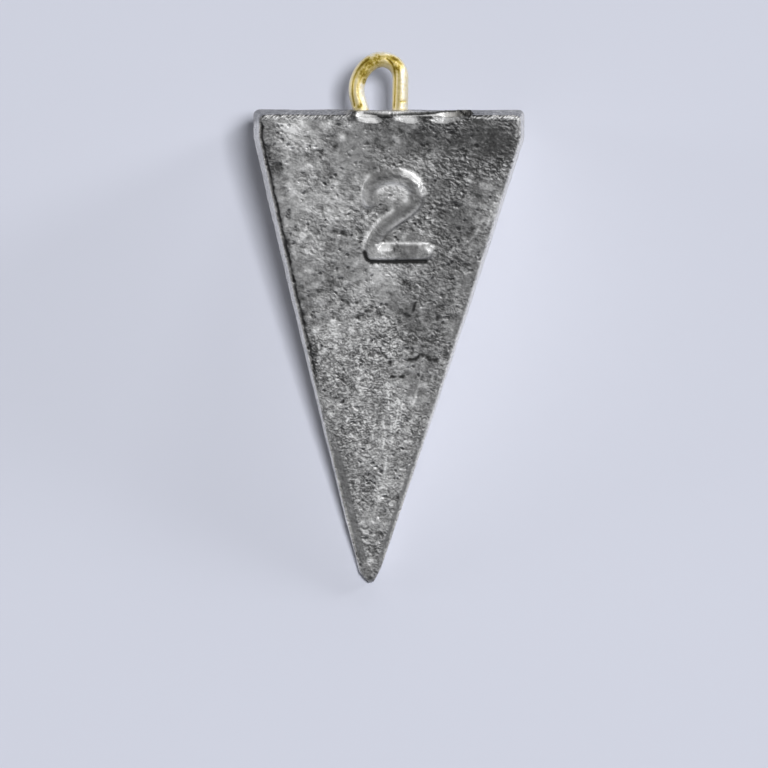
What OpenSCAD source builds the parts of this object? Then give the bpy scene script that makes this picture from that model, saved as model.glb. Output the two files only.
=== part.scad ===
// Pyramid fishing sinker: a four-sided lead casting with a bent brass wire eye cast into its wide end.
// Millimetres, +Z up. The casting lies on its back face, its tip towards -Y and its eye towards +Y.
// Both pieces are drawn with the casting's length along Y and its depth along Z, then laid down together.

/* [Lead body] */
// Width of the wide end, side to side along the mould line
body_w = 19.9; // [14:0.1:40]
// Depth of the wide end, front face to back face
body_depth = 19.9; // [14:0.1:40]
// Length from the wide end to the blunt tip
body_l = 34.7; // [24:0.1:80]
// Length of the two sides that stays straight next to the wide end
band_l = 2.15; // [1:0.05:5]
// How far the sides and the wide end fall back from the mould line to a face, so that they leave the mould
draft = 0.42; // [0.1:0.01:1]
// Outward bow of the two sides half way down
side_bow = 0.12; // [0:0.01:0.5]
// Reach of the rounding along the long edges
edge_round = 0.4; // [0.1:0.05:1]
// Height of the bevel around the wide end
bevel_h = 0.45; // [0.1:0.05:0.9]
// Width of that bevel on the two sides
side_bevel = 0.5; // [0.1:0.05:1.5]
// Width of that bevel on the front and back faces
face_bevel = 0.3; // [0.1:0.05:1.5]

/* [Trimmed gate] */
// Width of the stub that is left on the front half of the wide end, where the lead was poured in
gate_w = 8.7; // [5:0.1:11]
// How far the middle of the stub lies right of the middle of the wide end
gate_right = 1.6; // [0:0.05:3]
// Distance from the mould line at which the stub starts to stand out
gate_start = 0.8; // [0.3:0.05:3]
// Length of the sloped edge that the cutter left at the front of the stub
gate_edge = 0.72; // [0.4:0.01:1]
// Slope of that edge against the front face
gate_slope = 30; // [20:1:40]
// Width of each bite in that edge
bite_w = 1.8; // [1:0.05:2.4]
// Depth of each bite
bite_depth = 0.1; // [0.05:0.01:0.2]

/* [Blunt tip] */
// Half the width of the casting where its tip starts to round off
tip_half = 0.71; // [0.5:0.05:2]
// Length of the rounded end of the tip
tip_cap = 0.49; // [0.3:0.02:1.5]
// How far the tip lies to the left of the middle of the wide end
tip_shift = 1.37; // [0:0.05:3]

/* [Wire eye] */
// Thickness of the brass wire
wire_d = 1.17; // [0.8:0.01:1.6]
// How far right of the middle of the wide end the straighter leg comes out
leg_right = 0.8; // [0:0.01:2]
// Lean of that leg outward on its way up
leg_lean = 0.8; // [0:0.1:8]
// Length of that leg above the wide end
leg_rise = 2.25; // [1:0.01:6]
// Radius of the tight bend over the top, to the middle of the wire
tight_r = 1.35; // [1.1:0.01:3]
// Angle of that tight bend
tight_turn = 120; // [90:1:140]
// Radius of the wide bend down the other side, to the middle of the wire
wide_r = 2.35; // [1.4:0.01:5]
// Angle of that wide bend
wide_turn = 77; // [50:1:80]
// Depth in the lead at which both legs turn outward
leg_depth = 3.5; // [2:0.1:5]
// Radius of the elbow under each leg, to the middle of the wire
elbow_r = 1.2; // [1:0.05:2]
// Angle between each foot and the casting's length
foot_splay = 60; // [30:1:80]
// Length of the straight foot that keys the wire into the lead
foot_l = 1.7; // [0.8:0.1:3]

/* [Hidden] */

wire_r = wire_d / 2;
half_w = body_w / 2;
half_depth = body_depth / 2;
// Where the sides' taper starts and ends, measured from the wide end towards the tip
taper_start = band_l;
taper_end = body_l - tip_cap;
// The lean of the back face against the casting's own length, which is the angle it is laid down by
lay_angle = atan2(half_depth - tip_half, taper_end);
// How much further along its faces the wide end lies than its mould line, for each unit of depth
end_fall = draft / half_depth;

// Shares of a full step, which set only how finely the outline is drawn
corner_shares = [0, 0.2, 0.4, 0.6, 0.8, 1];
taper_shares = [0.2, 0.4, 0.6, 0.8];
bevel_angles = [0, 30, 60, 90];
cap_angles = [22.5, 45, 67.5, 82];
// The wire is drawn with this many sides, and a flat step for this many degrees of a bend.
wire_sides = 24;
bend_step = 9;

// The wire's heading, anticlockwise from straight up, after each of its two bends
mid_heading = tight_turn - leg_lean;
far_heading = mid_heading + wide_turn;
far_lean = far_heading - 180;
// The length of each leg, from the bend above it to the elbow below it
near_l = leg_depth / cos(leg_lean) + leg_rise;
far_top = leg_rise * cos(leg_lean) + tight_r * (sin(mid_heading) + sin(leg_lean))
    + wide_r * (sin(far_heading) - sin(mid_heading));
far_l = (far_top + leg_depth) / cos(far_lean);

// The laid down casting is set back along Y so that the middle of the whole part is at Y zero.
tip_reach = taper_end * cos(lay_angle) + norm([tip_cap * cos(lay_angle), tip_half * sin(lay_angle)]);
eye_reach = (leg_rise * cos(leg_lean) + tight_r * (1 + sin(leg_lean))) * cos(lay_angle) + wire_r;
set_back = (tip_reach - eye_reach) / 2;
floor_lift = half_depth * cos(lay_angle);

// One quarter of a cross section, front right: a rounded corner between the drafted side and the face.
// side is the half width at the mould line, deep the half depth, lean the draft and bend the rounding's reach.
function corner(side, deep, lean, bend) =
    [for (t = corner_shares)
        [side - lean + bend * ((1 - t) * (1 - t) * lean / norm([lean, deep]) - t * t),
         deep - bend * (1 - t) * (1 - t) * deep / norm([lean, deep])]];

function turned_over(list) = [for (i = [len(list) - 1:-1:0]) list[i]];

// A whole cross section, anticlockwise from the mould line on the right. fall is how much further along its
// two faces lie than the mould line, for each unit of depth, and middle moves it to the left.
function section_at(along, side, deep, lean, bend, fall, middle) =
    let (quarter = corner(side, deep, lean, bend))
    [for (p = concat(
        [[side, 0]],
        quarter,
        [for (q = turned_over(quarter)) [-q[0], q[1]]],
        [[-side, 0]],
        [for (q = quarter) [-q[0], -q[1]]],
        [for (q = turned_over(quarter)) [q[0], -q[1]]]))
        [p[0] - middle, -along - abs(p[1]) * fall, p[1]]];

// The share of the full draft that is left at a half depth
function slimmed(size, deep) = size * deep / half_depth;

// Half the depth of a cross section, so that the front and back faces are flat all the way from the wide end.
function face_at(along, fall) = (half_depth - along * tan(lay_angle)) / (1 + fall * tan(lay_angle));

function bevel_section(a) =
    let (along = bevel_h * (1 - cos(a)), deep = face_at(along, end_fall))
    section_at(along, half_w - side_bevel * (1 - sin(a)), deep - face_bevel * (1 - sin(a)),
        slimmed(draft, deep), edge_round, end_fall, 0);

function taper_section(share) =
    let (along = taper_start + (taper_end - taper_start) * share, deep = face_at(along, 0))
    section_at(along, half_w + (tip_half - half_w) * share + side_bow * 4 * share * (1 - share),
        deep, slimmed(draft, deep), edge_round, 0, tip_shift * share);

function cap_sections() =
    [for (a = cap_angles)
        section_at(taper_end + tip_cap * sin(a),
            tip_half * cos(a), tip_half * cos(a),
            slimmed(draft, tip_half * cos(a)), edge_round * cos(a), 0, tip_shift)];

casting_sections = concat(
    [for (a = bevel_angles) bevel_section(a)],
    [taper_section(0)],
    [for (s = taper_shares) taper_section(s)],
    [taper_section(1)],
    cap_sections());

// A solid through a list of rings with as many points each. first_end is the faces that close the first ring.
module joined_rings(rings, first_end) {
    around = len(rings[0]);
    count = len(rings);
    sides = [for (k = [0:count - 2]) for (i = [0:around - 1])
        let (j = (i + 1) % around)
        each [[k * around + i, (k + 1) * around + i, (k + 1) * around + j],
            [k * around + i, (k + 1) * around + j, k * around + j]]];
    last_end = [[for (i = [around - 1:-1:0]) (count - 1) * around + i]];
    polyhedron(points = [for (ring = rings) each ring], faces = concat(first_end, sides, last_end));
}

// The solid lead, before the wire is in it: its cross sections joined one to the next.
module casting() {
    around = len(casting_sections[0]);
    // The wide end falls away from the mould line on both sides, so it is two flat faces.
    joined_rings(casting_sections, [[for (i = [0:around / 2]) i], [for (i = [around / 2:around]) i % around]]);
}

// The stub's outline from the side, as [place along the casting, depth]. Its top runs forward from near the
// mould line and ends at the sloped edge, which meets the front face near the end of the bevel.
edge_angle = lay_angle - gate_slope;
face_end = [-bevel_h - draft, half_depth - (bevel_h + draft) * tan(lay_angle)];
edge_top = face_end + gate_edge * [cos(edge_angle), sin(edge_angle)];
stub_start = gate_start * [-end_fall, 1];
// The stub's two ends are sunk into the lead by this share of their own lengths.
overrun_share = 0.05;
edge_foot = face_end - overrun_share * gate_edge * [0, 1];

// The cutter left three shallow round bites side by side in the sloped edge. This is the depth of a bite
// at a share of the stub's width.
bite_count = 3;
bite_steps = 8;
bite_pitch = gate_w / bite_count;
function bite_at(share) =
    let (off = (share * bite_count - floor(share * bite_count) - 1 / 2) * bite_pitch)
    bite_depth * max(0, 1 - pow(2 * off / bite_w, 2));
function stub_section(share) =
    let (bitten = bite_at(share) * [sin(edge_angle), -cos(edge_angle)], across = gate_right + gate_w * (share - 1 / 2))
    [for (p = [
        stub_start + overrun_share * (stub_start - edge_top),
        edge_top + bitten,
        edge_foot + bitten,
        [-band_l, gate_start]])
        [across, p[0], p[1]]];

module trimmed_gate() {
    steps = bite_count * bite_steps;
    joined_rings([for (k = [0:steps]) stub_section(k / steps)], [[0, 1, 2, 3]]);
}

// The wire as it is bent, from foot to foot over the eye. Each run is a length and a turn of zero for a
// straight, or a radius and the turn for a bend, which is positive to the left.
wire_runs = [
    [foot_l, 0],
    [elbow_r, -foot_splay - leg_lean],
    [near_l, 0],
    [tight_r, tight_turn],
    [wide_r, wide_turn],
    [far_l, 0],
    [elbow_r, -foot_splay - far_lean],
    [foot_l, 0]];

// A place on the wire's middle line is [x, y, heading]. This is the place a share of the way along a run.
function along_run(run, from, share) =
    let (turned = from[2] + run[1] * share, side = sign(run[1]) * run[0])
    run[1] == 0
        ? [from[0] - run[0] * share * sin(from[2]), from[1] + run[0] * share * cos(from[2]), from[2]]
        : [from[0] + side * (cos(turned) - cos(from[2])), from[1] + side * (sin(turned) - sin(from[2])), turned];

// The places at which the runs from number k on start, and the end of the last one.
function run_starts(k, from) =
    k == len(wire_runs) ? [from] : concat([from], run_starts(k + 1, along_run(wire_runs[k], from, 1)));

function steps_of(run) = max(1, ceil(abs(run[1]) / bend_step));

// The end of the first foot, found back from where the straighter leg comes out of the wide end.
function elbow_start() =
    [leg_right - leg_depth * tan(leg_lean), -leg_depth, -leg_lean];
function first_foot() =
    let (elbow = along_run([elbow_r, -foot_splay - leg_lean], [0, 0, foot_splay], 1),
        foot = along_run([foot_l, 0], [0, 0, foot_splay], 1))
    [elbow_start()[0] - elbow[0] - foot[0], elbow_start()[1] - elbow[1] - foot[1], foot_splay];

wire_starts = run_starts(0, first_foot());
wire_places = concat(
    [for (k = [0:len(wire_runs) - 1]) for (i = [0:steps_of(wire_runs[k]) - 1])
        along_run(wire_runs[k], wire_starts[k], i / steps_of(wire_runs[k]))],
    [wire_starts[len(wire_runs)]]);

// The whole bent wire: a round section at each place, square to the heading, joined one to the next.
module bent_eye() {
    rings = [for (at = wire_places) [for (i = [0:wire_sides - 1])
        let (a = 360 * i / wire_sides)
        [at[0] + wire_r * cos(a) * cos(at[2]), at[1] + wire_r * cos(a) * sin(at[2]), -wire_r * sin(a)]]];
    joined_rings(rings, [[for (i = [0:wire_sides - 1]) i]]);
}

module laid_down() {
    translate([0, set_back, floor_lift]) rotate([lay_angle, 0, 0]) children();
}

module lead_body() {
    color("DimGray") laid_down() difference() {
        union() {
            casting();
            trimmed_gate();
        }
        bent_eye();
    }
}

module wire_eye() {
    color("Goldenrod") laid_down() bent_eye();
}

lead_body();
wire_eye();
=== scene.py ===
import math
from types import SimpleNamespace

import bmesh
import bpy
import numpy as np
from mathutils import Matrix, Vector, noise


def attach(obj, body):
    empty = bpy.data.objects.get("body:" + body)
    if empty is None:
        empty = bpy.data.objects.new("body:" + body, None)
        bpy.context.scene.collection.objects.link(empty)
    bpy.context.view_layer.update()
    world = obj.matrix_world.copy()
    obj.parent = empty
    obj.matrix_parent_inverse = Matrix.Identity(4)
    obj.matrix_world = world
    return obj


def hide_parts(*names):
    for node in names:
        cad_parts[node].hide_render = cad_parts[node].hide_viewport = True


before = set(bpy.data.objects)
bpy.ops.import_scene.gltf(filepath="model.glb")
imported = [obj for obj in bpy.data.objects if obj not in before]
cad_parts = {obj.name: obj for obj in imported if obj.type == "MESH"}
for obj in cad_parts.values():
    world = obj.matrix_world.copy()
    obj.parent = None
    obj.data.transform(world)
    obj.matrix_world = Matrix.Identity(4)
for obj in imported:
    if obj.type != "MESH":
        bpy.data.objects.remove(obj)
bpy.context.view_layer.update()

MILLIMETRE = 0.001

# Sizes of the casting in millimetres, the same as the solid's
HALF_WIDTH = 9.95
HALF_DEPTH = 9.95
LENGTH = 34.7
BAND = 2.15
DRAFT = 0.42
SIDE_BOW = 0.12
EDGE_ROUND = 0.4
BEVEL = 0.45
SIDE_BEVEL = 0.5
FACE_BEVEL = 0.3
TIP_HALF = 0.71
TIP_CAP = 0.49
TIP_SHIFT = 1.37
TAPER_END = LENGTH - TIP_CAP
END_FALL = DRAFT / HALF_DEPTH

# Sizes of the stub of the gate, on the front half of the wide end
GATE_LEFT = -2.75
GATE_RIGHT = 5.85
GATE_START = 0.8
GATE_SLOPE = math.radians(30)
GATE_TOP = -0.17
GATE_TOP_RISE = 0.12

# The bites that the cutters left in the stub's front edge: middle, half length and slant
BITES = ((-1.7, 0.95, 1.0), (1.2, 0.95, 0.6), (4.2, 1.1, -1.0))
BITE_LINE = -0.62
BITE_DEPTH = 0.13

# Sizes of the flats along the front face's edges near the tip, on the left and on the right
FACET_WIDTHS = (0.85, 0.55)
FACET_DEPTHS = (0.22, 0.20)
FACET_STARTS = (22.5, 25.5)
FACET_STOPS = (32.5, 33.8)

# The tip's struck-off corners: a place on each cut and the way that it faces
TIP_CUTS = (((-2.06, -34.0), (-0.727, -0.686)), ((-0.60, -33.85), (0.873, -0.487)))
TIP_CUT_DEPTH = 0.32

# Sizes of the raised figure: its height, and half a stroke's width at its foot and at its top
FIGURE_HEIGHT = 0.46
STROKE_FOOT = 0.66
STROKE_TOP = 0.27

# How far the skin lies inside the solid, and how high or deep the marks in it are
SKIN_DEPTH = 0.06
LUMP_HEIGHT = 0.05
NUGGET_HEIGHT = 0.07
SCRATCH_HEIGHT = 0.03
PIT_DEPTH = 0.08
CREASE_DEPTH = 0.20
VALLEY_DEPTH = 0.04
CRACK_DEPTH = 0.10
DENT_DEPTH = 0.10

# Sizes of the brass wire, whose mesh is a hair thinner than the solid
SOLID_RADIUS = 0.585
WIRE_RADIUS = 0.583
LEG_RIGHT = 0.8
LEG_LEAN = math.radians(0.8)
LEG_RISE = 2.25
TIGHT_BEND = (1.35, math.radians(120))
WIDE_BEND = (2.35, math.radians(77))
LEG_DEPTH = 3.5
ELBOW = 1.2
FOOT_SPLAY = math.radians(60)
FOOT = 1.7

# How the casting lies: on its back face, tip towards -Y
LAY = math.atan2(HALF_DEPTH - TIP_HALF, TAPER_END)
FLOOR_LIFT = HALF_DEPTH * math.cos(LAY)
TIP_REACH = TAPER_END * math.cos(LAY) + math.hypot(TIP_CAP * math.cos(LAY), TIP_HALF * math.sin(LAY))
EYE_RISE = LEG_RISE * math.cos(LEG_LEAN) + TIGHT_BEND[0] * (1 + math.sin(LEG_LEAN))
EYE_REACH = EYE_RISE * math.cos(LAY) + SOLID_RADIUS
SET_BACK = (TIP_REACH - EYE_REACH) / 2

# The picture: its side in pixels, the millimetres in a pixel, and where the casting's axis and wide end are;
# then how the camera is turned, how far off it is in metres, and its film in millimetres
PICTURE_SIDE = 768
PIXEL = 0.07316
AXIS_COLUMN = 388.5
WIDE_END_ROW = 109
CAMERA_YAW = math.radians(0.42)
CAMERA_PITCH = math.radians(1.0)
CAMERA_DISTANCE = 0.9
SENSOR_WIDTH = 36

# The table, in metres, and the shades of the table and the room
BACKDROP = (0.617, 0.638, 0.730)
ROOM_SHADE = (0.97, 0.98, 1.0)
TABLE_REACH = 0.35
TABLE_FADE = (0.13, 0.32)

# How finely the casting and the wire are drawn
WALL_STEPS = 13
FRONT_STEPS = 124
BACK_STEPS = 44
END_ROWS = 30
BAND_ROWS = 12
TAPER_ROWS = 204
WIRE_SIDES = 64
WIRE_STEP = 0.09


def laid_down(points):
    """Places on the casting's own axes, in millimetres, as places in the frame, in metres."""
    x, y, z = np.asarray(points, float).T
    along = SET_BACK + y * math.cos(LAY) - z * math.sin(LAY)
    up = FLOOR_LIFT + y * math.sin(LAY) + z * math.cos(LAY)
    return np.column_stack([x, along, up]) * MILLIMETRE


def face_depth(y):
    """Depth of the front face's surface at a place along the casting."""
    return HALF_DEPTH + np.minimum(y, 0) * math.tan(LAY)


def in_picture(points):
    """Where pixels are, in millimetres to the right of the casting's axis and up from its wide end."""
    return (np.asarray(points, float) - (AXIS_COLUMN, WIDE_END_ROW)) * (PIXEL, -PIXEL)


def seen_flat(places):
    """The same two distances for places on the casting, as they are seen from in front of it."""
    x, y, z = places.T
    flat = np.column_stack([x + z * math.tan(CAMERA_YAW), y - z * math.tan(CAMERA_PITCH)])
    middle = in_picture([(PICTURE_SIDE / 2, PICTURE_SIDE / 2)])
    return middle + (flat - middle) / (1 - z[:, None] * MILLIMETRE / CAMERA_DISTANCE)


def smooth(value, low, high):
    """A soft step from 0 at the low value to 1 at the high one."""
    share = np.clip((value - low) / (high - low), 0, 1)
    return share * share * (3 - 2 * share)


def hill(value, middle, reach):
    """A round hill of height 1 about a middle value."""
    return np.exp(-((value - middle) / reach) ** 2)


def noise_at(points, size, seed=0):
    """Smooth noise from -1 to 1 with patches of about this size in millimetres."""
    shift = Vector((17.3 * seed, -9.1 * seed, 5.7 * seed))
    return np.array([noise.noise(Vector(p) / size + shift) for p in points])


def distance_to_line(points, line):
    """Distance from each of the flat points to a line through a list of places."""
    best = np.full(len(points), 1e9)
    for a, b in zip(line[:-1], line[1:]):
        step = b - a
        share = np.clip(((points - a) @ step) / max(step @ step, 1e-12), 0, 1)
        best = np.minimum(best, np.linalg.norm(points - a - share[:, None] * step, axis=1))
    return best


def rounded_line(points, steps=6):
    """A smooth line through a list of places."""
    points = np.asarray(points, float)
    padded = np.vstack([2 * points[0] - points[1], points, 2 * points[-1] - points[-2]])
    line = []
    for k in range(1, len(padded) - 2):
        a, b, c, d = padded[k - 1:k + 3]
        for t in np.linspace(0, 1, steps, endpoint=False):
            line.append(0.5 * (2 * b + (c - a) * t + (2 * a - 5 * b + 4 * c - d) * t ** 2
                               + (3 * b - a - 3 * c + d) * t ** 3))
    return np.array(line + [points[-1]])


# The casting

def half_outline(side, deep, lean, bend, face_steps):
    """Half a cross section, from the mould line on the right over one face to the one on the left."""
    slope = math.hypot(lean, deep)
    low = np.array([side, 0.0])
    high = np.array([side - lean + bend * lean / slope, deep - bend * deep / slope])
    wall = [low + (high - low) * k / WALL_STEPS for k in range(WALL_STEPS)]
    rounding = [np.array([side - lean + bend * ((1 - t) ** 2 * lean / slope - t * t),
                          deep - bend * (1 - t) ** 2 * deep / slope]) for t in (0, 0.25, 0.5, 0.75)]
    edge = side - lean - bend
    face = [np.array([edge * (1 - 2 * k / face_steps), deep]) for k in range(face_steps + 1)]
    left = [p * (-1, 1) for p in reversed(wall + rounding)]
    return np.array(wall + rounding + face + left)


def cross_section(along, side, deep, lean, bend, fall=0.0, middle=0.0):
    """A closed cross section, so far from the wide end, whose faces may fall back from the mould line."""
    front = half_outline(side, deep, lean, bend, FRONT_STEPS)
    back = half_outline(side, deep, lean, bend, BACK_STEPS)[::-1] * (1, -1)
    flat = np.vstack([front, back[1:-1]])
    return np.column_stack([flat[:, 0] - middle, -along - np.abs(flat[:, 1]) * fall, flat[:, 1]])


def face_at(along, fall):
    """Half the depth of a cross section, so that the front and back faces are flat from the wide end on."""
    return (HALF_DEPTH - along * math.tan(LAY)) / (1 + fall * math.tan(LAY))


def bevel_row(angle, share=1.0):
    """The cross section at an angle round the wide end's bevel, or a share of it."""
    along = BEVEL * (1 - math.cos(angle))
    deep = face_at(along, END_FALL)
    return cross_section(along, (HALF_WIDTH - SIDE_BEVEL * (1 - math.sin(angle))) * share,
                         (deep - FACE_BEVEL * (1 - math.sin(angle))) * share,
                         DRAFT * deep / HALF_DEPTH * share, EDGE_ROUND * share, END_FALL)


def taper_row(share):
    """The cross section at a share of the way from the end's straight band to the tip."""
    along = BAND + (TAPER_END - BAND) * share
    deep = face_at(along, 0)
    side = HALF_WIDTH + (TIP_HALF - HALF_WIDTH) * share + SIDE_BOW * 4 * share * (1 - share)
    return cross_section(along, side, deep, DRAFT * deep / HALF_DEPTH, EDGE_ROUND, 0, TIP_SHIFT * share)


def casting_rows():
    """The cross sections of the casting, from the middle of the wide end to the tip."""
    rows = [bevel_row(0, 1 - (1 - share) ** 1.3) for share in np.linspace(0.02, 1, END_ROWS)[:-1]]
    rows += [bevel_row(angle) for angle in np.radians([0, 15, 30, 45, 60, 75, 90])]
    band_top = rows[-1]
    band_foot = taper_row(0)
    rows += [band_top + (band_foot - band_top) * share for share in np.linspace(0, 1, BAND_ROWS)[1:]]
    rows += [taper_row(share) for share in np.linspace(0, 1, TAPER_ROWS)[1:]]
    for angle in np.radians([20, 40, 60, 75, 85]):
        size = TIP_HALF * math.cos(angle)
        rows.append(cross_section(TAPER_END + TIP_CAP * math.sin(angle), size, size,
                                  DRAFT * size / HALF_DEPTH, EDGE_ROUND * math.cos(angle), 0, TIP_SHIFT))
    return rows


def joined_rows(rows):
    """Places and faces of a closed skin through the rows."""
    around = len(rows[0])
    places = np.vstack(rows + [rows[0].mean(0), rows[-1].mean(0)])
    first_middle = len(places) - 2
    faces = []
    for k in range(len(rows) - 1):
        for i in range(around):
            j = (i + 1) % around
            faces.append((k * around + i, k * around + j, (k + 1) * around + j, (k + 1) * around + i))
    last = (len(rows) - 1) * around
    for i in range(around):
        j = (i + 1) % around
        faces.append((first_middle, j, i))
        faces.append((first_middle + 1, last + i, last + j))
    return places, faces


def left_edge(y):
    """Where the front face's left edge is, at a place along the casting."""
    share = np.clip((-y - BAND) / (TAPER_END - BAND), 0, 1)
    side = HALF_WIDTH + (TIP_HALF - HALF_WIDTH) * share + SIDE_BOW * 4 * share * (1 - share)
    return -(side - DRAFT * face_depth(y) / HALF_DEPTH) - TIP_SHIFT * share


def right_edge(y):
    """Where the front face's right edge is, at a place along the casting."""
    share = np.clip((-y - BAND) / (TAPER_END - BAND), 0, 1)
    return -left_edge(y) - 2 * TIP_SHIFT * share


NUMERAL_STROKE = in_picture(rounded_line([
    (369, 201), (368.8, 193), (372, 184.5), (379.5, 179), (390, 176.8), (400.5, 177.8), (409.5, 182),
    (415.5, 188.5), (417, 196), (414, 204), (406, 211.5), (396, 218.2), (386, 225.5), (378, 233.5),
    (373.3, 242.5), (372, 252.5)]))
NUMERAL_FOOT = in_picture([(372, 252.6), (400, 252.8), (425.5, 252.0)])


def numeral_height(flat):
    """Height of the raised plain figure on the front face."""
    away = np.minimum(distance_to_line(flat, NUMERAL_STROKE), distance_to_line(flat, NUMERAL_FOOT))
    return FIGURE_HEIGHT * smooth(-away, -STROKE_FOOT, -STROKE_TOP)


# Single marks in the skin of the front face, by the pixels where they show: cracks painted dark as their
# shade, pale scratches, a groove under the figure's foot with a painted shadow, painted shade along its
# strokes, painted highlights on its edges, the stub's bites and the face's top right edges, which also smooth
# the lead there, dents and bumps. A highlight line also has its reach in millimetres and how much lighter it
# is.
CRACKS = [in_picture(line) for line in (
    [(403, 283), (406, 282), (410, 287)],
    [(405, 315), (409, 316)],
    [(413, 311), (415, 304)],
    [(409, 360), (415, 360), (419, 356), (426, 356), (430, 360), (437, 360)],
    [(391, 377), (398, 378), (403, 377)],
    [(364, 112.6), (385, 114), (405, 113.4), (425, 112), (445, 110.6), (455, 110)],
    [(378, 115), (384, 117), (391, 116)],
    [(461, 111), (464, 113.5), (469, 113)])]
SCRATCHES = [in_picture(line) for line in (
    [(463, 246), (475, 235), (483, 219)],
    [(490, 214), (487, 226)],
    [(399, 290), (402, 297), (410, 303)],
    [(421, 372), (417, 392), (412, 408)],
    [(383, 414), (385, 432), (383, 449)],
    [(392, 416), (391, 434)],
    [(399, 402), (396, 424), (391, 446)],
    [(404, 396), (400, 420)],
    [(376, 404), (375, 420), (372, 440)],
    [(387, 455), (384, 478)])]
# A shallow groove under the figure's foot, painted dark as the shadow that the foot casts
FOOT_SHADOW_LINE = in_picture([(364.6, 253), (366.4, 259), (369.5, 261.6), (390, 262.2), (410, 261.4), (425, 261.6)])
# Painted shade along the figure's strokes, on their flanks turned from the light
STROKE_SHADE_LINES = [in_picture(rounded_line(line)) for line in (
    [(372, 182), (381, 176.5), (392, 173.5), (403, 176), (412, 183)],
    [(411, 206), (400, 212), (388, 220.5), (378, 230.5), (371.5, 242)],
    [(371, 199), (371, 191), (374, 185)])]
# Painted highlights along lines: the figure's lit flanks and edges, the stub's bites, the face's top right
# edges
HIGHLIGHT_AND_POLISH_LINES = [(in_picture(line), reach, amount) for line, reach, amount in (
    ([(358.5, 116.5), (366, 118), (374, 120)], 0.18, 0.24),
    ([(397, 118.5), (404, 117.5), (412, 119.5)], 0.18, 0.20),
    ([(437, 118), (447, 114), (454, 115)], 0.22, 0.04),
    ([(404.5, 171.8), (412, 174), (418.5, 181), (423.5, 193)], 0.21, 0.44),
    ([(368, 176), (362.5, 184), (361.5, 196), (364.5, 204)], 0.17, 0.24),
    ([(378, 192), (382, 187), (388, 184.3), (396, 184.3), (402, 187), (406, 193), (405.5, 200)], 0.24, 0.30),
    ([(392, 211), (380, 219), (371, 229), (364.8, 240), (363, 248)], 0.15, 0.28),
    ([(419, 204), (410, 213), (399, 220), (388, 228)], 0.13, 0.12),
    ([(376, 243.6), (400, 243.2), (428, 243.6), (433, 247)], 0.10, 0.34),
    ([(379, 247), (388, 247)], 0.22, 0.36),
    ([(426, 246), (431, 250)], 0.18, 0.36),
    ([(518.2, 117), (516.5, 136)], 0.08, 0.40),
    ([(472, 117.3), (490, 118), (505, 117), (517, 118)], 0.09, 0.36))]
DENTS = in_picture([(372, 307), (366, 312), (379, 314), (390, 363), (387, 371), (412, 353), (358, 318),
                    (371, 580), (357, 303), (342, 233), (335, 147), (321, 152), (334, 232), (398, 498)])
NUGGETS = in_picture([(309, 317.5), (332, 321), (345, 360), (422, 358), (377, 379), (358, 379), (328, 125),
                      (341, 138), (292, 129), (284, 126), (320, 300), (313, 331)])
SMOOTH_PATCH = in_picture([(357, 150)])

# Where the front face is lighter or darker: column, row, reach in pixels, and how much
LIGHTER = [
    (332, 336, 20, 0.10), (296, 130, 15, 0.22), (290, 190, 24, 0.12), (322, 205, 30, 0.09),
    (346, 208, 15, 0.08), (284, 127, 4, 0.20), (292, 130, 5, 0.22), (302, 122, 4, 0.16),
    (313, 134, 5, 0.20), (328, 125, 6, 0.24), (341, 138, 4, 0.26), (319, 143, 5, 0.20),
    (306, 148, 5, 0.16), (288, 148, 8, 0.14), (300, 250, 26, 0.10), (310, 165, 20, 0.06),
    (345, 125, 5, 0.16), (394, 191, 10, 0.26), (500, 112, 14, 0.10), (380, 271, 20, 0.22),
    (500, 207, 9, 0.22), (362, 318, 24, 0.12), (384, 395, 26, 0.10), (378, 450, 22, 0.12),
    (386, 485, 16, 0.14), (374, 520, 14, 0.14), (371, 560, 10, 0.06)]
# Among the darker spots, the last one is painted shade over the bright left end of the stub
DARKER = [
    (474, 128, 42, 0.28), (500, 150, 20, 0.16), (418, 136, 17, 0.20), (374, 152, 16, 0.06),
    (384, 134, 15, 0.12), (272, 166, 9, 0.25), (452, 205, 34, 0.14), (432, 318, 30, 0.13),
    (285, 245, 9, 0.24), (452, 262, 24, 0.12), (424, 345, 18, 0.10), (333, 283, 18, 0.05),
    (384, 176, 9, 0.06), (396, 249, 5, 0.20), (405, 252, 6, 0.16), (415, 248, 4, 0.10),
    (385, 118, 5, 0.2), (424, 117, 6, 0.2), (355, 111, 4, 0.40)]


def shade_over(flat):
    """How much lighter or darker than usual the front face is."""
    total = np.zeros(len(flat))
    for sign, patches in ((1, LIGHTER), (-1, DARKER)):
        for column, row, reach, amount in patches:
            middle = in_picture([(column, row)])[0]
            total += sign * amount * hill(np.linalg.norm(flat - middle, axis=1), 0, reach * PIXEL)
    return total


def near_lines(flat, lines, reach):
    """How close each flat point is to the nearest of the lines, from 0 to 1."""
    return np.max([hill(distance_to_line(flat, line), 0, reach) for line in lines], axis=0)


def near_spots(flat, spots, reach):
    """How close each flat point is to the nearest of the spots, from 0 to 1."""
    return np.max([hill(np.linalg.norm(flat - spot, axis=1), 0, reach) for spot in spots], axis=0)


def scattered(flat, seed, count, reaches, wanted):
    """Rounded spots strewn at random over the front face, as thickly as is wanted from left to right."""
    chance = np.random.RandomState(seed)
    height = np.zeros(len(flat))
    for _ in range(count):
        y = -chance.uniform(0.3, LENGTH - 1)
        x = chance.uniform(float(left_edge(y)), float(right_edge(y)))
        reach = chance.uniform(*reaches)
        if chance.uniform() < wanted(x):
            away = np.hypot((flat[:, 0] - x) / chance.uniform(0.8, 1.5), flat[:, 1] - y)
            height = np.maximum(height, chance.uniform(0.5, 1.0) * hill(away, 0, reach))
    return height


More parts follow.
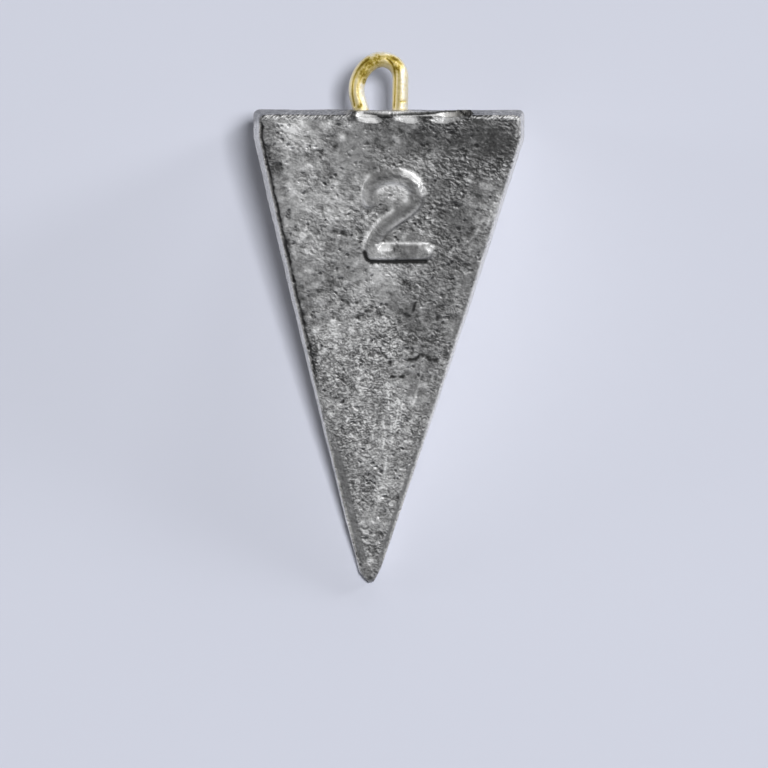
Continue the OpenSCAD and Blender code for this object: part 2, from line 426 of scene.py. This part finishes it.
def refined(bm, wanted):
    """Halves the faces all of whose corners are wanted."""
    edges = [e for e in bm.edges if wanted(e.verts[0].co) and wanted(e.verts[1].co)]
    bmesh.ops.subdivide_edges(bm, edges=edges, cuts=1, use_grid_fill=True)


def near_numeral(place):
    return place.z > 6 and -2.5 < place.x < 3.7 and -11.6 < place.y < -4.1


def near_gate(place):
    return place.z > 8 and -4 < place.x < 7.2 and place.y > -1.8


def on_gate_edge(place):
    return place.z > 9 and -3.2 < place.x < 6.4 and place.y > -1.3


def near_crease(place):
    from_left = place.x - float(left_edge(place.y))
    return place.z > 0.6 and place.y < -0.4 and 0 < from_left < 1.2 and place.z > face_depth(place.y) - 0.3


def gate_bites(x, y):
    """How much the cutters bit into the stub of the gate, from 0 to 1."""
    return np.max([np.clip(1 - ((x + slant * (y - BITE_LINE) - middle) / reach) ** 2, 0, 1)
                   for middle, reach, slant in BITES], axis=0)


def gate_push(places, normals):
    """How far the skin moves to form the stub of the gate, and how much of it is a clean bite."""
    x, y, z = places.T
    bite = gate_bites(x, y)
    tilt = LAY - GATE_SLOPE
    foot_y = -(BEVEL + DRAFT)
    foot_z = HALF_DEPTH + foot_y * math.tan(LAY)
    edge_out = (-math.sin(tilt), math.cos(tilt))
    edge_gap = -((y - foot_y) * edge_out[0] + (z - foot_z) * edge_out[1] + BITE_DEPTH * bite)
    edge_push = edge_gap / np.maximum(normals[:, 1] * edge_out[0] + normals[:, 2] * edge_out[1], 0.3)
    top_y = GATE_TOP + GATE_TOP_RISE * smooth(x, 1.5, 5.2)
    top_z = foot_z + (top_y - foot_y) * math.tan(tilt)
    start_y = -END_FALL * GATE_START
    slope = (top_y - start_y) / (top_z - GATE_START)
    top_gap = start_y + slope * (z - GATE_START) - y
    top_push = top_gap / np.maximum(normals[:, 1] - slope * normals[:, 2], 0.2)
    top_push = np.where(normals[:, 1] > 0.15, top_push, 1.0)
    push = np.minimum(edge_push, top_push)
    inside = (x > GATE_LEFT) & (x < GATE_RIGHT) & (z > GATE_START) & (y > foot_y - 0.5)
    push = np.where((normals[:, 1] < 0.15) & (push > 0), 0, np.maximum(push, -0.25))
    push = np.where(inside, push, 0)
    cut = inside & (edge_push < top_push) & (push != 0)
    clean_from = np.where(x < 0, -0.42, np.where(x < 2.7, -0.45, -0.12))
    return push, cut * np.sqrt(bite) * smooth(clean_from - y, -0.12, 0.02)


def tip_facets(x, y):
    """How deep the flats along both edges of the front face near the tip are, and where they are."""
    left = FACET_WIDTHS[0] - (x - left_edge(y))
    right = FACET_WIDTHS[1] - (right_edge(y) - x)
    run = smooth(-y, *FACET_STARTS) * (1 - smooth(-y, *FACET_STOPS))
    depth = run * (FACET_DEPTHS[0] * np.clip(left, 0, 1) + FACET_DEPTHS[1] * np.clip(right, 0, 1))
    return depth, run * np.maximum(smooth(left, 0, 0.15), smooth(right, 0, 0.15))


def tip_corners(places, normals):
    """How far the skin goes in where the tip's two corners are struck off."""
    depth = 0
    for corner, out in TIP_CUTS:
        beyond = (places[:, :2] - corner) @ np.array(out)
        facing = np.maximum(normals[:, :2] @ np.array(out), 0.5)
        depth = depth + np.clip(beyond / facing, 0, TIP_CUT_DEPTH)
    return depth


def left_crease(on, places):
    """The ragged crease down the left side of the front face, and the shallow valley that it lies in."""
    from_left = on.x - left_edge(on.y)
    wobble = noise_at(places * (0, 1, 0), 0.9, 4) + 0.7 * noise_at(places * (0, 1, 0), 0.35, 5)
    broken_up = 0.55 + 0.45 * smooth(noise_at(places * (0.6, 1, 0), 0.5, 7), -0.3, 0.2)
    run = on.front * smooth(on.down, 0.6, 1.8) * (1 - smooth(on.down, 17, 22))
    crease = run * broken_up * hill(from_left, 0.22 + 0.13 * wobble, 0.14 + 0.14 * on.small)
    return crease, run * hill(from_left, 0.35, 0.60)


def marks_on_skin(places, normals):
    """What is where on the casting's skin: the strength of each kind of mark at every corner of the mesh."""
    on = SimpleNamespace()
    on.x, on.y, on.z = places.T
    on.down = -on.y
    on.sideways = np.abs(normals[:, 0])
    on.front = smooth(normals[:, 2], 0.55, 0.85)
    on.end = smooth(normals[:, 1], 0.5, 0.8)
    on.wall = smooth(on.sideways, 0.6, 0.9)
    on.rim = np.where((on.y > -1.2) & (on.z > 0.5), 1.0, on.front)
    on.broad = noise_at(places, 2.6)
    on.middling = noise_at(places, 0.95, 1)
    on.small = noise_at(places, 0.42, 2)
    on.patchy = 0.3 + 0.7 * smooth(noise_at(places, 2.4, 6), -0.35, 0.30)
    on.crease, on.valley = left_crease(on, places)
    facet_depth, facet = tip_facets(on.x, on.y)
    on.facet_depth = on.front * facet_depth
    on.facet = on.front * facet

    # The stub of the gate: its push and bites, its smooth end and its left side, painted darker as shade;
    # then the left wall's corner by the wide end, painted dark as shade
    on.push, on.cut = gate_push(places, normals)
    on.lens = on.end * smooth(on.z, 5.5, 8.5) * smooth(on.x, -2.9, -2.2) * (1 - smooth(on.x, 3.4, 5.0))
    on.stub_side = hill(on.x, GATE_LEFT + 0.1, 0.22) * smooth(on.z, 8.5, 9.3) * smooth(on.y, -1.1, -0.8)
    on.corner = on.wall * (on.x < 0) * smooth(on.y, -1.3, -0.8)

    # What is placed as it is seen from in front
    flat = seen_flat(places + normals * on.push[:, None])
    on.shade = on.rim * shade_over(flat)
    finer = on.front * (1 - 0.6 * smooth(on.down, 19, 25))
    on.pits = finer * scattered(flat, 5, 520, (0.12, 0.26), lambda x: 0.35 + 0.5 * (x < 1))
    on.lumps = finer * scattered(flat, 8, 620, (0.14, 0.30), lambda x: 0.4 + 0.5 * (x < 0))
    # The painted shadow under the figure's foot, kept with the cracks
    foot_shadow = near_lines(flat, [FOOT_SHADOW_LINE], 0.13)
    on.cracks = on.rim * np.maximum(near_lines(flat, CRACKS, 0.095), 1.6 * foot_shadow)
    on.scratches = on.front * near_lines(flat, SCRATCHES, 0.08)
    # Painted shade along the figure's strokes
    on.cores = on.front * near_lines(flat, STROKE_SHADE_LINES, 0.20)
    # Painted highlights along lines, where the lead is also smoother
    on.rubbed = on.rim * np.max([amount * hill(distance_to_line(flat, line), 0, reach)
                                 for line, reach, amount in HIGHLIGHT_AND_POLISH_LINES], axis=0)
    on.dents = on.front * near_spots(flat, DENTS, 0.15)
    on.nuggets = on.front * near_spots(flat, NUGGETS, 0.17)
    on.figure = on.front * numeral_height(flat)
    on.stroke = smooth(on.figure, 0.01, 0.15)
    stroke_calm = 0.65 * on.stroke - 0.35 * on.stroke * near_lines(flat, [NUMERAL_FOOT], 0.6)
    patch_calm = 0.6 * on.front * near_spots(flat, SMOOTH_PATCH, 1.6)
    on.calm = np.max([stroke_calm, 0.85 * on.facet, patch_calm], axis=0)
    return on


def skin_height(on, places, normals):
    """How far the casting's skin stands over the smooth solid, in millimetres."""
    height = 0.03 * on.broad + 0.02 * on.middling + 0.016 * on.small - SKIN_DEPTH
    height = height + (1 - on.calm) * (LUMP_HEIGHT * on.lumps - PIT_DEPTH * on.pits)
    height = np.minimum(height - CREASE_DEPTH * on.crease - VALLEY_DEPTH * on.valley, 0.0)
    height = height - CRACK_DEPTH * on.cracks - DENT_DEPTH * on.dents
    height = height + NUGGET_HEIGHT * on.nuggets + SCRATCH_HEIGHT * on.scratches
    height = height * (1 - 0.4 * on.stroke) + on.figure - on.facet_depth
    return height * (1 - 0.8 * on.cut) + on.push - tip_corners(places, normals)


def skin_tone(on):
    """How light the casting's skin is."""
    # Lumps and bumps are painted lighter as their highlights, pits darker as their shade and oxide
    marked = 0.08 * on.middling + 0.10 * on.small + 0.12 * on.lumps - 0.26 * on.pits
    tone = 0.56 + on.shade + 0.05 * on.broad + marked * (1 - on.calm)
    tone = tone + 0.22 * on.nuggets + 0.18 * on.scratches + on.rubbed
    # Cracks, dents, the crease and its valley are painted darker as the shade in them; the foot's groove as
    # its shadow
    tone = tone - 0.13 * on.cores - 0.40 * on.dents - 0.65 * on.crease - 0.06 * on.valley
    tone = tone - 0.62 * on.cracks - 0.12 * on.facet
    # The front face's rounded right edge is painted lighter as its highlight; the back half's rounded edges
    # are lighter too
    lighter_edges = 4 * on.front * (1 - on.front) * smooth(on.x, -0.5, 0.5)
    lighter_edges = lighter_edges + 0.8 * (on.z < -0.5) * hill(on.sideways, 0.7, 0.25)
    tone = tone + 0.20 * lighter_edges * (1 - on.cut) + 0.22 * on.lens + on.cut * np.where(on.x < 0, 0.16, 0.10)
    # Walls are lighter; the right wall's front part more so, as painted light from the right
    tone = tone + on.wall * (0.17 + 0.17 * (on.x > 0) * smooth(on.z, 0, 3))
    # The left wall's corner and the stub's left side are painted darker as shade
    return tone - 0.18 * on.end * (on.x < -2.9) - 0.30 * on.corner - 0.35 * on.stub_side


def skin_burnish(on):
    """How much the casting's skin is polished or cut smooth; its painted highlight lines count as polish too.
    """
    smoothed = np.max([0.3 * on.wall - 0.3 * on.corner, 0.9 * on.cut, 0.7 * on.rubbed, 0.7 * on.lens], axis=0)
    return np.clip(smoothed - on.cracks - on.stub_side, 0, 1)


def skin_roughness(on):
    """How strong the crust of the casting's skin is."""
    rough = 0.46 + 0.10 * smooth(on.x, -3, -1) + 0.26 * smooth(on.x, 1.2, 3.6) * (1 - smooth(on.down, 7, 12))
    rough = rough - 0.20 * smooth(on.down, 13, 20)
    rough = np.where(on.front > 0.5, rough, 0.65 + 0.3 * on.end) * on.patchy
    near_right = on.front * (1 - smooth(right_edge(on.y) - on.x, 0.0, 0.45))
    return rough * (1 - 0.7 * near_right) * (1 - 0.8 * on.lens) * (1 - on.stub_side)


def skin_crumbs(on):
    """How dense the fine crumbs on the lower half of the front face lie."""
    lower = smooth(on.down, 12, 18) * (1 - 0.35 * smooth(on.down, 25, 31))
    right = smooth(on.x, 0.2, 1.6) * (1 - smooth(on.down, 21, 25))
    return 0.75 * on.front * lower * (0.5 + 0.5 * on.patchy) * (1 - 0.55 * right)


def skin_splinters(on):
    """How torn the front edge of the wide end is, where the cutters sheared it."""
    sheared = np.where((on.x < -2.8) | (on.x > 6), 1, 0.3) * smooth(on.y, -1.0, -0.65)
    torn = 0.6 * smooth(on.z, 0, 5) + 0.4 * smooth(on.z, 8.2, 9.3)
    return torn * sheared * (1 - on.cut) * (1 - on.lens)


def mesh_object(name, places, faces):
    mesh = bpy.data.meshes.new(name)
    mesh.from_pydata([tuple(p) for p in places], [], faces)
    mesh.validate()
    piece = bpy.data.objects.new(name, mesh)
    bpy.context.scene.collection.objects.link(piece)
    return piece


def add_values(mesh, name, values):
    """Stores three values at each corner of a mesh, for its finish to read."""
    mesh.attributes.new(name, "FLOAT_VECTOR", "POINT").data.foreach_set(
        "vector", np.asarray(values, np.float32).ravel())


def cast_lead_body():
    places, faces = joined_rows(casting_rows())
    piece = mesh_object("cast_lead_body", places, faces)
    mesh = piece.data
    bm = bmesh.new()
    bm.from_mesh(mesh)
    for zone in (near_numeral, near_gate, near_crease, on_gate_edge):
        refined(bm, zone)
    bm.normal_update()
    places = np.array([v.co for v in bm.verts])
    normals = np.array([v.normal for v in bm.verts])
    on = marks_on_skin(places, normals)
    moved = laid_down(places + normals * skin_height(on, places, normals)[:, None])
    for vert, place in zip(bm.verts, moved):
        vert.co = place
    bm.to_mesh(mesh)
    bm.free()
    folded = on.front * hill(np.hypot((on.x + 3.0) / 3.0, (on.y + 7.0) / 3.4), 0, 1.0)
    dragged = np.maximum(on.wall, 0.8 * on.end * (1 - 0.8 * on.lens))
    add_values(mesh, "cast_place", places)
    add_values(mesh, "looks", np.column_stack([skin_tone(on), skin_burnish(on), on.calm]))
    add_values(mesh, "grains", np.column_stack([skin_roughness(on), folded, skin_crumbs(on)]))
    add_values(mesh, "marks", np.column_stack([skin_splinters(on), on.facet, dragged]))
    mesh.shade_smooth()
    return piece


# The brass eye

def wire_line():
    """The wire's middle line from foot to foot: places, headings and lengths."""
    mid = TIGHT_BEND[1] - LEG_LEAN
    far = mid + WIDE_BEND[1]
    far_lean = far - math.pi
    near_leg = LEG_DEPTH / math.cos(LEG_LEAN) + LEG_RISE
    far_top = (LEG_RISE * math.cos(LEG_LEAN) + TIGHT_BEND[0] * (math.sin(mid) + math.sin(LEG_LEAN))
               + WIDE_BEND[0] * (math.sin(far) - math.sin(mid)))
    runs = [(FOOT, 0), (ELBOW, -FOOT_SPLAY - LEG_LEAN), (near_leg, 0), TIGHT_BEND, WIDE_BEND,
            ((far_top + LEG_DEPTH) / math.cos(far_lean), 0), (ELBOW, -FOOT_SPLAY - far_lean), (FOOT, 0)]
    place = np.array([0.0, 0.0])
    heading = FOOT_SPLAY
    gone = 0.0
    line = [(place, heading, gone)]
    for number, (size, turn) in enumerate(runs):
        length = size * abs(turn) if turn else size
        steps = max(1, round(length / WIRE_STEP))
        for _ in range(steps):
            if turn:
                side = math.copysign(size, turn)
                turned = heading + turn / steps
                place = place + side * np.array([math.cos(turned) - math.cos(heading),
                                                 math.sin(turned) - math.sin(heading)])
                heading = turned
            else:
                place = place + size / steps * np.array([-math.sin(heading), math.cos(heading)])
            gone += length / steps
            line.append((place, heading, gone))
        if number == 1:
            leg_start = place
    shift = np.array([LEG_RIGHT - LEG_DEPTH * math.tan(LEG_LEAN), -LEG_DEPTH]) - leg_start
    return [(place + shift, heading, gone) for place, heading, gone in line]


# The wire's olive patches and its dark, tan and pale lines, by the pixels where they show: the patches and
# the dark and tan lines are painted reflections of dark surroundings, the pale lines painted highlights
OLIVE = [(368, 63, 7), (376, 60, 6), (363, 73, 6), (364, 81, 4), (393, 60, 5), (397, 68, 4), (359, 106, 2.5)]
DARK_LINES = [in_picture(rounded_line(line)) for line in (
    [(354, 106), (351.8, 92), (353.5, 78), (360, 66), (368, 59)],
    [(386, 58.5), (392, 65), (394.5, 76), (394.3, 92), (393.5, 107)],
    [(400, 101.5), (404.5, 101.5)])]
TAN_LINES = [in_picture(rounded_line(line)) for line in (
    [(361, 106), (357.8, 96), (357.5, 86), (361, 76)],
    [(398, 66), (398.5, 84), (398, 107)],
    [(378, 56.5), (388, 56.5), (397, 60.5), (403, 68)])]
PALE_LINES = [in_picture(rounded_line(line)) for line in (
    [(402, 68), (402.8, 80), (402.5, 99)],
    [(361.5, 84), (362, 94), (366, 105)],
    [(370, 56), (383, 52.5), (395, 55.5)],
    [(401, 106), (405, 106)])]


def brass_wire_eye():
    rows = []
    drawn = []
    angles = np.linspace(0, 2 * math.pi, WIRE_SIDES, endpoint=False)
    for place, heading, gone in wire_line():
        rows.append(np.column_stack([place[0] + WIRE_RADIUS * np.cos(angles) * math.cos(heading),
                                     place[1] + WIRE_RADIUS * np.cos(angles) * math.sin(heading),
                                     -WIRE_RADIUS * np.sin(angles)]))
        drawn.append(np.column_stack([np.cos(angles), np.sin(angles), np.full(WIRE_SIDES, gone)]))
    places, faces = joined_rows(rows)
    flat = seen_flat(places)
    front = smooth(places[:, 2], -0.1, 0.15)
    # Painted reflections and highlights on the wire's front: olive patches, dark, tan and pale lines
    olive = front * np.max([near_spots(flat, in_picture([(column, row)]), reach * PIXEL)
                            for column, row, reach in OLIVE], axis=0)
    dark = front * near_lines(flat, DARK_LINES, 0.07)
    tan = front * near_lines(flat, TAN_LINES, 0.08)
    pale = front * near_lines(flat, PALE_LINES, 0.20)
    piece = mesh_object("brass_wire_eye", laid_down(places), faces)
    drawn = np.vstack(drawn + [drawn[0].mean(0), drawn[-1].mean(0)])
    add_values(piece.data, "drawn_place", drawn)
    add_values(piece.data, "cast_place", places)
    add_values(piece.data, "looks", np.column_stack([olive, dark + 0.5 * tan, pale]))
    piece.data.shade_smooth()
    return piece


# Finishes

class Signal:
    """A value, colour or vector that runs through a finish's nodes."""

    def __init__(self, finish, socket):
        self.finish = finish
        self.socket = socket

    def math(self, operation, *others):
        return self.finish.node("ShaderNodeMath", {"operation": operation}, dict(enumerate((self, *others))))

    def __add__(self, other):
        return self.math("ADD", other)

    def __sub__(self, other):
        return self.math("SUBTRACT", other)

    def __rsub__(self, other):
        return self.finish.node("ShaderNodeMath", {"operation": "SUBTRACT"}, {0: other, 1: self})

    def __mul__(self, other):
        return self.math("MULTIPLY", other)

    def __abs__(self):
        return self.math("ABSOLUTE")

    __radd__ = __add__
    __rmul__ = __mul__


class Finish:
    """The nodes of a material or of the room, written as expressions."""

    def __init__(self, owner):
        owner.use_nodes = True
        self.owner = owner
        self.tree = owner.node_tree
        self.tree.nodes.clear()

    def node(self, kind, settings=None, sockets=None, output=0):
        """A node of a kind with its settings, and its sockets given a value or linked to a signal."""
        node = self.tree.nodes.new(kind)
        for name, value in (settings or {}).items():
            if name == "stops":
                ramp = node.color_ramp
                while len(ramp.elements) < len(value):
                    ramp.elements.new(0.5)
                for element, (place, shade) in zip(ramp.elements, value):
                    element.position = place
                    element.color = (*shade, 1) if isinstance(shade, tuple) else (shade, shade, shade, 1)
            else:
                setattr(node, name, value)
        for name, value in (sockets or {}).items():
            if isinstance(value, Signal):
                self.tree.links.new(value.socket, node.inputs[name])
            else:
                node.inputs[name].default_value = value
        return Signal(self, node.outputs[output])

    def attribute(self, name):
        """The three values that a mesh stores under a name."""
        return self.node("ShaderNodeAttribute", {"attribute_name": name}, output="Vector")

    def split(self, vector):
        return [self.node("ShaderNodeSeparateXYZ", {}, {"Vector": vector}, axis) for axis in "XYZ"]

    def grain(self, place, scale, detail=3.0, rough=0.55):
        """Soft noise from 0 to 1, this many patches to a millimetre."""
        return self.node("ShaderNodeTexNoise", {"noise_dimensions": "3D"},
                         {"Vector": place, "Scale": scale, "Detail": detail, "Roughness": rough}, "Fac")

    def cells(self, place, scale):
        """Distance from the middle of cells, this many to a millimetre."""
        return self.node("ShaderNodeTexVoronoi", {}, {"Vector": place, "Scale": scale}, "Distance")

    def stretched(self, place, turn, sizes):
        """The place, so that what is drawn at it is turned and as long as these sizes along each axis."""
        return self.node("ShaderNodeMapping", {"vector_type": "TEXTURE"},
                         {"Vector": place, "Rotation": (0, 0, turn), "Scale": sizes}, "Vector")

    def bent(self, place, scale, amount):
        """The place, pushed about by a soft noise so that what is drawn at it curls."""
        push = self.node("ShaderNodeTexNoise", {}, {"Vector": place, "Scale": scale, "Detail": 1.0}, "Color")
        return self.node("ShaderNodeVectorMath", {"operation": "MULTIPLY_ADD"},
                         {0: push, 1: (amount, amount, amount), 2: place}, "Vector")

    def lit(self, drawn, place, reach):
        """Something drawn at a place, and how light from the wide end would show its slopes."""
        above = self.node("ShaderNodeVectorMath", {"operation": "ADD"},
                          {0: place, 1: (0.3 * reach, reach, 0.3 * reach)}, "Vector")
        here = drawn(place)
        return here, here - drawn(above)

    def step(self, value, low, high, to_low=0.0, to_high=1.0):
        """A soft step from one value to another."""
        return self.node("ShaderNodeMapRange", {"interpolation_type": "SMOOTHSTEP"}, {
            "Value": value, "From Min": low, "From Max": high, "To Min": to_low, "To Max": to_high})

    def ramp(self, value, stops):
        """The shade for a value, between stops that each hold a value and its shade."""
        return self.node("ShaderNodeValToRGB", {"stops": stops}, {"Fac": value}, "Color")

    def tinted(self, share, shade, tint):
        return self.node("ShaderNodeMix", {"data_type": "RGBA", "blend_type": "MULTIPLY"},
                         {0: share, 6: shade, 7: (*tint, 1)}, 2)

    def relief(self, height):
        """The slopes of a height in millimetres."""
        return self.node("ShaderNodeBump", {}, {"Height": height, "Distance": MILLIMETRE, "Strength": 1.0})

    def close(self, shader, kind="ShaderNodeOutputMaterial"):
        end = self.tree.nodes.new(kind)
        self.tree.links.new(shader.socket, end.inputs["Surface"])
        return self.owner

    def surface(self, sockets):
        """The finished material, with a surface that has these sockets."""
        return self.close(self.node("ShaderNodeBsdfPrincipled", {}, sockets, "BSDF"))


def cast_lead():
    """Rough grey lead: crumbs, folds and pits, drag lines down the walls, splinters where it was cut."""
    finish = Finish(bpy.data.materials.new("cast_lead"))
    place = finish.attribute("cast_place")
    tone, burnish, calm = finish.split(finish.attribute("looks"))
    rough, wrinkles, dense = finish.split(finish.attribute("grains"))
    broken, facet, wall = finish.split(finish.attribute("marks"))
    bent = finish.bent(place, 1.5, 0.45)
    long_crust = finish.stretched(bent, -0.35, (1.4, 1.0, 1.0))
    long_folds = finish.stretched(bent, -0.18, (1.0, 0.34, 1.0))
    long_splinters = finish.stretched(place, 0.85, (0.6, 0.15, 3.0))

    fine = finish.grain(place, 6.0, 2.0, 0.5)
    crust, lit_crust = finish.lit(lambda spot: finish.grain(spot, 4.0), long_crust, 0.08)
    ridges, lit_ridges = finish.lit(lambda spot: finish.grain(spot, 5.5, 1.0), bent, 0.06)
    crumbs = finish.step(finish.grain(bent, 2.6, 2.0), 0.50, 0.60)
    folds, lit_folds = finish.lit(lambda spot: finish.grain(spot, 1.0, 2.0), long_folds, 0.20)
    splinters, lit_splinters = finish.lit(lambda spot: finish.grain(spot, 1.0, 1.0), long_splinters, 0.35)
    pits, lit_pits = finish.lit(
        lambda spot: finish.step(finish.cells(spot, 2.1), 0.10, 0.42, 1.0, 0.0), bent, 0.10)
    pocked = finish.step(finish.grain(place, 0.9, 1.0), 0.46, 0.60)
    drag = finish.grain(finish.stretched(bent, 0.0, (0.5, 1.0, 2.4)), 1.0)
    streaks = finish.grain(finish.stretched(place, 0.25, (0.2, 1.4, 1.0)), 1.0, 2.0)
    blobs = finish.step(finish.grain(place, 1.5, 1.0), 0.54, 0.70)

    rough_skin = (1 - burnish * 0.85) * (1 - calm * 0.8)
    height = (crust * rough * 0.12 + fine * 0.02 + folds * wrinkles * 0.10 + splinters * broken * 0.10
              + drag * wall * 0.06 - pits * pocked * 0.08) * rough_skin
    # Painted light and shade: each lit part shows slopes of crust, crumbs, folds, splinters or pits as if lit
    # from the wide end, and pits are also painted darker as shade
    crusty = (lit_crust * 1.8 + (crust - 0.5) * 0.50) * rough
    crumbly = (lit_ridges * 1.3 + (ridges - 0.5) * 0.7 + (crumbs - 0.3) * 0.30) * dense
    torn = (lit_splinters * 1.15 + (splinters - 0.5) * 0.6) * broken
    pitted = (pits * 0.20 + lit_pits * 0.16) * pocked
    spotted = (fine - 0.5) * 0.35 + (blobs - 0.3) * 0.14
    streaked = (streaks - 0.5) * facet * 0.9 + (drag - 0.5) * wall * 0.7
    grain_and_painted_relief = crusty + crumbly + lit_folds * wrinkles * 0.9 + torn + streaked + spotted - pitted
    # Polish and the painted highlights make the lead lighter too
    shade = finish.ramp(tone + grain_and_painted_relief * rough_skin + burnish * 0.2, [
        (0.05, 0.025), (0.30, 0.09), (0.50, 0.25), (0.70, 0.50), (0.95, 0.90)])
    return finish.surface({
        "Base Color": finish.tinted(wall, shade, (1.0, 0.97, 0.91)),
        "Metallic": 0.40 + wall * 0.45,
        "Roughness": finish.step(fine - burnish * 0.5 - wall * 0.15, 0.1, 0.7, 0.26, 0.48),
        "Normal": finish.relief(height)})


def drawn_brass():
    """Brass with die lines, and pale and dark bands and olive patches painted as highlights and reflections.
    """
    finish = Finish(bpy.data.materials.new("drawn_brass"))
    place = finish.attribute("cast_place")
    drawn = finish.attribute("drawn_place")
    outward = finish.split(drawn)[0]
    olive, groove_and_dark_reflection, pale = finish.split(finish.attribute("looks"))
    lines = finish.grain(finish.stretched(drawn, 0.0, (0.25, 0.25, 2.9)), 1.0, 3.0, 0.6)
    speckle = finish.grain(place, 5.0, 2.0, 0.6)
    # The wire's sides are painted lighter, as the bright surroundings that they mirror
    rims = finish.step(abs(outward), 0.70, 0.90)
    # Pale lines are painted highlights; olive patches, dark and tan lines painted reflections, with a slight
    # groove
    value = (0.64 + (lines - 0.5) * 0.4 + rims * 0.15 + pale * 0.3 - groove_and_dark_reflection * 0.5
             + (speckle - 0.5) * (0.35 + olive * 0.9 + pale * 0.7) - olive * 0.50)
    colour = finish.ramp(value, [
        (0.0, (0.22, 0.14, 0.008)), (0.25, (0.46, 0.35, 0.06)), (0.5, (0.80, 0.66, 0.30)),
        (0.75, (0.97, 0.86, 0.58)), (1.0, (1.0, 0.96, 0.84))])
    return finish.surface({
        "Base Color": colour,
        "Metallic": 0.60,
        "Roughness": finish.step(lines + olive * 0.5, 0.3, 0.8, 0.34, 0.52),
        "Normal": finish.relief(lines * 0.02 + speckle * 0.03 - groove_and_dark_reflection * 0.03)})


def pale_table():
    """A pale table top that fades into the room's own shade further off."""
    finish = Finish(bpy.data.materials.new("pale_table"))
    place = finish.node("ShaderNodeNewGeometry", output="Position")
    away = finish.node("ShaderNodeVectorMath", {"operation": "LENGTH"}, {0: place}, "Value")
    return finish.surface({
        "Base Color": (*BACKDROP, 1),
        "Roughness": 0.9,
        "Specular IOR Level": 0.1,
        "Alpha": finish.step(away, *TABLE_FADE, 1.0, 0.0)})


# The room

def table():
    reach = TABLE_REACH
    corners = [(-reach, -reach, 0), (reach, -reach, 0), (reach, reach, 0), (-reach, reach, 0)]
    floor = mesh_object("pale_table", corners, [(0, 1, 2, 3)])
    floor.data.materials.append(pale_table())


def aimed(place, target):
    """A lamp's or the camera's matrix at a place, looking at a target, with the casting's eye end up."""
    back = (Vector(place) - Vector(target)).normalized()
    right = Vector((0, 1, 0)).cross(back).normalized()
    turn = Matrix((right, back.cross(right), back)).transposed().to_4x4()
    return Matrix.Translation(Vector(place)) @ turn


def soft_lamp(name, place, width, height, power, matte=True, gloss=True):
    """A soft lamp aimed at the casting; what is matte or what is glossy may be left without it."""
    lamp = bpy.data.lights.new(name, "AREA")
    lamp.shape = "RECTANGLE"
    lamp.size = width
    lamp.size_y = height
    lamp.energy = power
    holder = bpy.data.objects.new(name, lamp)
    holder.matrix_world = aimed(place, (0, 0, 0.01))
    holder.visible_diffuse = matte
    holder.visible_glossy = gloss
    bpy.context.scene.collection.objects.link(holder)


def room_light(strength, mirrored):
    """A plain pale room: the light that it gives, what a gloss mirrors of it and what the camera sees."""
    room = Finish(bpy.data.worlds.new("studio"))
    given, gloss, seen = [
        room.node("ShaderNodeBackground", {}, {"Color": (*shade, 1), "Strength": power}, "Background")
        for shade, power in ((ROOM_SHADE, strength), (ROOM_SHADE, mirrored), (BACKDROP, 1.0))]
    shader = given
    for ray, other in (("Is Glossy Ray", gloss), ("Is Camera Ray", seen)):
        share = room.node("ShaderNodeLightPath", output=ray)
        shader = room.node("ShaderNodeMixShader", {}, {"Fac": share, 1: shader, 2: other}, "Shader")
    bpy.context.scene.world = room.close(shader, "ShaderNodeOutputWorld")


def camera():
    middle = PICTURE_SIDE / 2
    target = laid_down([((middle - AXIS_COLUMN) * PIXEL, (WIDE_END_ROW - middle) * PIXEL, 0)])[0]
    out = np.array([-math.sin(CAMERA_YAW), math.sin(CAMERA_PITCH), math.cos(CAMERA_PITCH)])
    away = laid_down([out])[0] - laid_down([(0, 0, 0)])[0]
    place = target + away / np.linalg.norm(away) * CAMERA_DISTANCE
    data = bpy.data.cameras.new("camera")
    data.sensor_width = SENSOR_WIDTH
    data.lens = SENSOR_WIDTH * CAMERA_DISTANCE / (PICTURE_SIDE * PIXEL * MILLIMETRE)
    data.clip_start = 0.01
    data.clip_end = 20
    holder = bpy.data.objects.new("camera", data)
    holder.matrix_world = aimed(place, target)
    bpy.context.scene.collection.objects.link(holder)
    bpy.context.scene.camera = holder


lead = cast_lead_body()
lead.data.materials.append(cast_lead())
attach(lead, "root")
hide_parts("lead_body")

eye = brass_wire_eye()
eye.data.materials.append(drawn_brass())
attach(eye, "root")
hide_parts("wire_eye")

table()
soft_lamp("overhead", (0.08, -0.17, 0.9), 0.11, 0.11, 6.6, gloss=False)
soft_lamp("right", (0.70, 0.28, 0.34), 0.25, 0.20, 1.3)
soft_lamp("left", (-0.85, 0.10, 0.20), 0.30, 0.15, 0.8)
soft_lamp("far", (0.20, 0.70, 0.45), 0.25, 0.20, 0.6)
soft_lamp("panel", (0.50, -0.10, 0.70), 0.60, 0.50, 0.95, matte=False)
soft_lamp("glint", (0.38, 0.10, 0.80), 0.15, 0.15, 1.8, matte=False)
room_light(0.105, 0.40)
camera()
bpy.context.scene.view_settings.view_transform = "Standard"
